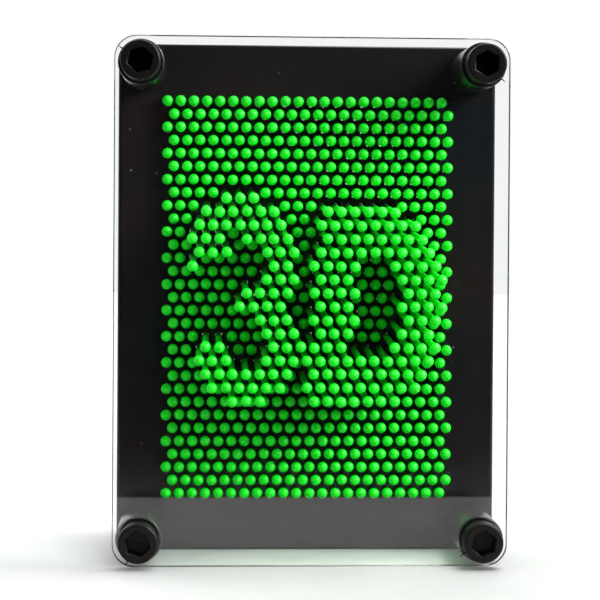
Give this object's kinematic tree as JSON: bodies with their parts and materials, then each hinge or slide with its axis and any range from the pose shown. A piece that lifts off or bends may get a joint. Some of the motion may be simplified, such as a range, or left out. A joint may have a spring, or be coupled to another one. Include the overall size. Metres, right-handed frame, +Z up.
{
  "type": "pin art impression toy",
  "caption": "Desk pin art toy: loose ball-headed pins slide through two perforated plates behind a clear cover, standing on its edge with a relief pushed forward.",
  "frame": {"origin": "on the table, under the middle of the standing toy: the centre of the bottom of its bounding box", "axes": "+Z up along the long side of the plates, -Y out through the clear cover towards the viewer, +X to the viewer's right"},
  "size_m": [0.095, 0.0564, 0.127],
  "materials": {
    "clear_acrylic": "clear polished acrylic sheet",
    "black_plate": "black gloss plastic, lightly dusty and scratched",
    "black_screw": "black moulded plastic, semi-gloss",
    "black_spacer": "black moulded plastic, gloss",
    "neon_pin": "neon green moulded plastic, satin gloss"
  },
  "bodies": {
    "frame": {"front_cover": "clear_acrylic", "front_pin_plate": "black_plate", "rear_pin_plate": "black_plate", "screw_top_left": "black_screw", "front_spacer_top_left": "black_spacer", "guide_spacer_top_left": "black_spacer", "rear_leg_top_left": "black_spacer", "cap_nut_top_left": "black_spacer", "screw_top_right": "black_screw", "front_spacer_top_right": "black_spacer", "guide_spacer_top_right": "black_spacer", "rear_leg_top_right": "black_spacer", "cap_nut_top_right": "black_spacer", "screw_bottom_left": "black_screw", "front_spacer_bottom_left": "black_spacer", "guide_spacer_bottom_left": "black_spacer", "rear_leg_bottom_left": "black_spacer", "cap_nut_bottom_left": "black_spacer", "screw_bottom_right": "black_screw", "front_spacer_bottom_right": "black_spacer", "guide_spacer_bottom_right": "black_spacer", "rear_leg_bottom_right": "black_spacer", "cap_nut_bottom_right": "black_spacer"},
    "pins_field_top_left": {"pins_field_top_left": "neon_pin"},
    "pins_field_top_right": {"pins_field_top_right": "neon_pin"},
    "pins_field_left_upper": {"pins_field_left_upper": "neon_pin"},
    "pins_field_left_middle": {"pins_field_left_middle": "neon_pin"},
    "pins_field_left_lower": {"pins_field_left_lower": "neon_pin"},
    "pins_field_left_bottom": {"pins_field_left_bottom": "neon_pin"},
    "pins_field_between": {"pins_field_between": "neon_pin"},
    "pins_field_counter": {"pins_field_counter": "neon_pin"},
    "pins_field_right_upper": {"pins_field_right_upper": "neon_pin"},
    "pins_field_right_edge": {"pins_field_right_edge": "neon_pin"},
    "pins_field_right_lower": {"pins_field_right_lower": "neon_pin"},
    "pins_field_bottom_left": {"pins_field_bottom_left": "neon_pin"},
    "pins_field_bottom_right": {"pins_field_bottom_right": "neon_pin"},
    "pins_three_upper_hook": {"pins_three_upper_hook": "neon_pin"},
    "pins_three_top": {"pins_three_top": "neon_pin"},
    "pins_three_shoulder": {"pins_three_shoulder": "neon_pin"},
    "pins_three_waist": {"pins_three_waist": "neon_pin"},
    "pins_three_hip": {"pins_three_hip": "neon_pin"},
    "pins_three_bottom": {"pins_three_bottom": "neon_pin"},
    "pins_three_lower_hook": {"pins_three_lower_hook": "neon_pin"},
    "pins_dee_top": {"pins_dee_top": "neon_pin"},
    "pins_dee_stem": {"pins_dee_stem": "neon_pin"},
    "pins_dee_upper_bowl": {"pins_dee_upper_bowl": "neon_pin"},
    "pins_dee_lower_bowl": {"pins_dee_lower_bowl": "neon_pin"},
    "pins_dee_bottom": {"pins_dee_bottom": "neon_pin"},
    "pin_half_raised": {"pin_half_raised": "neon_pin"}
  },
  "joints": [
    {"name": "field_top_left_slide", "type": "slide", "parent": "frame", "child": "pins_field_top_left", "axis": [0, -0.9998, -0.02], "range_m": [0, 0.016]},
    {"name": "field_top_right_slide", "type": "slide", "parent": "frame", "child": "pins_field_top_right", "axis": [0, -0.9998, -0.02], "range_m": [0, 0.016]},
    {"name": "field_left_upper_slide", "type": "slide", "parent": "frame", "child": "pins_field_left_upper", "axis": [0, -0.9998, -0.02], "range_m": [0, 0.016]},
    {"name": "field_left_middle_slide", "type": "slide", "parent": "frame", "child": "pins_field_left_middle", "axis": [0, -0.9998, -0.02], "range_m": [0, 0.016]},
    {"name": "field_left_lower_slide", "type": "slide", "parent": "frame", "child": "pins_field_left_lower", "axis": [0, -0.9998, -0.02], "range_m": [0, 0.016]},
    {"name": "field_left_bottom_slide", "type": "slide", "parent": "frame", "child": "pins_field_left_bottom", "axis": [0, -0.9998, -0.02], "range_m": [0, 0.016]},
    {"name": "field_between_slide", "type": "slide", "parent": "frame", "child": "pins_field_between", "axis": [0, -0.9998, -0.02], "range_m": [0, 0.016]},
    {"name": "field_counter_slide", "type": "slide", "parent": "frame", "child": "pins_field_counter", "axis": [0, -0.9998, -0.02], "range_m": [0, 0.016]},
    {"name": "field_right_upper_slide", "type": "slide", "parent": "frame", "child": "pins_field_right_upper", "axis": [0, -0.9998, -0.02], "range_m": [0, 0.016]},
    {"name": "field_right_edge_slide", "type": "slide", "parent": "frame", "child": "pins_field_right_edge", "axis": [0, -0.9998, -0.02], "range_m": [0, 0.016]},
    {"name": "field_right_lower_slide", "type": "slide", "parent": "frame", "child": "pins_field_right_lower", "axis": [0, -0.9998, -0.02], "range_m": [0, 0.016]},
    {"name": "field_bottom_left_slide", "type": "slide", "parent": "frame", "child": "pins_field_bottom_left", "axis": [0, -0.9998, -0.02], "range_m": [0, 0.016]},
    {"name": "field_bottom_right_slide", "type": "slide", "parent": "frame", "child": "pins_field_bottom_right", "axis": [0, -0.9998, -0.02], "range_m": [0, 0.016]},
    {"name": "three_upper_hook_slide", "type": "slide", "parent": "frame", "child": "pins_three_upper_hook", "axis": [0, -0.9982, -0.0599], "range_m": [-0.016, 0]},
    {"name": "three_top_slide", "type": "slide", "parent": "frame", "child": "pins_three_top", "axis": [0, -0.9982, -0.0599], "range_m": [-0.016, 0]},
    {"name": "three_shoulder_slide", "type": "slide", "parent": "frame", "child": "pins_three_shoulder", "axis": [0, -0.9982, -0.0599], "range_m": [-0.016, 0]},
    {"name": "three_waist_slide", "type": "slide", "parent": "frame", "child": "pins_three_waist", "axis": [0, -0.9982, -0.0599], "range_m": [-0.016, 0]},
    {"name": "three_hip_slide", "type": "slide", "parent": "frame", "child": "pins_three_hip", "axis": [0, -0.9982, -0.0599], "range_m": [-0.016, 0]},
    {"name": "three_bottom_slide", "type": "slide", "parent": "frame", "child": "pins_three_bottom", "axis": [0, -0.9982, -0.0599], "range_m": [-0.016, 0]},
    {"name": "three_lower_hook_slide", "type": "slide", "parent": "frame", "child": "pins_three_lower_hook", "axis": [0, -0.9982, -0.0599], "range_m": [-0.016, 0]},
    {"name": "dee_top_slide", "type": "slide", "parent": "frame", "child": "pins_dee_top", "axis": [0, -0.9982, -0.0599], "range_m": [-0.016, 0]},
    {"name": "dee_stem_slide", "type": "slide", "parent": "frame", "child": "pins_dee_stem", "axis": [0, -0.9982, -0.0599], "range_m": [-0.016, 0]},
    {"name": "dee_upper_bowl_slide", "type": "slide", "parent": "frame", "child": "pins_dee_upper_bowl", "axis": [0, -0.9982, -0.0599], "range_m": [-0.016, 0]},
    {"name": "dee_lower_bowl_slide", "type": "slide", "parent": "frame", "child": "pins_dee_lower_bowl", "axis": [0, -0.9982, -0.0599], "range_m": [-0.016, 0]},
    {"name": "dee_bottom_slide", "type": "slide", "parent": "frame", "child": "pins_dee_bottom", "axis": [0, -0.9982, -0.0599], "range_m": [-0.016, 0]},
    {"name": "half_raised_slide", "type": "slide", "parent": "frame", "child": "pin_half_raised", "axis": [0, -0.9998, -0.02], "range_m": [-0.008, 0.008]}
  ]
}
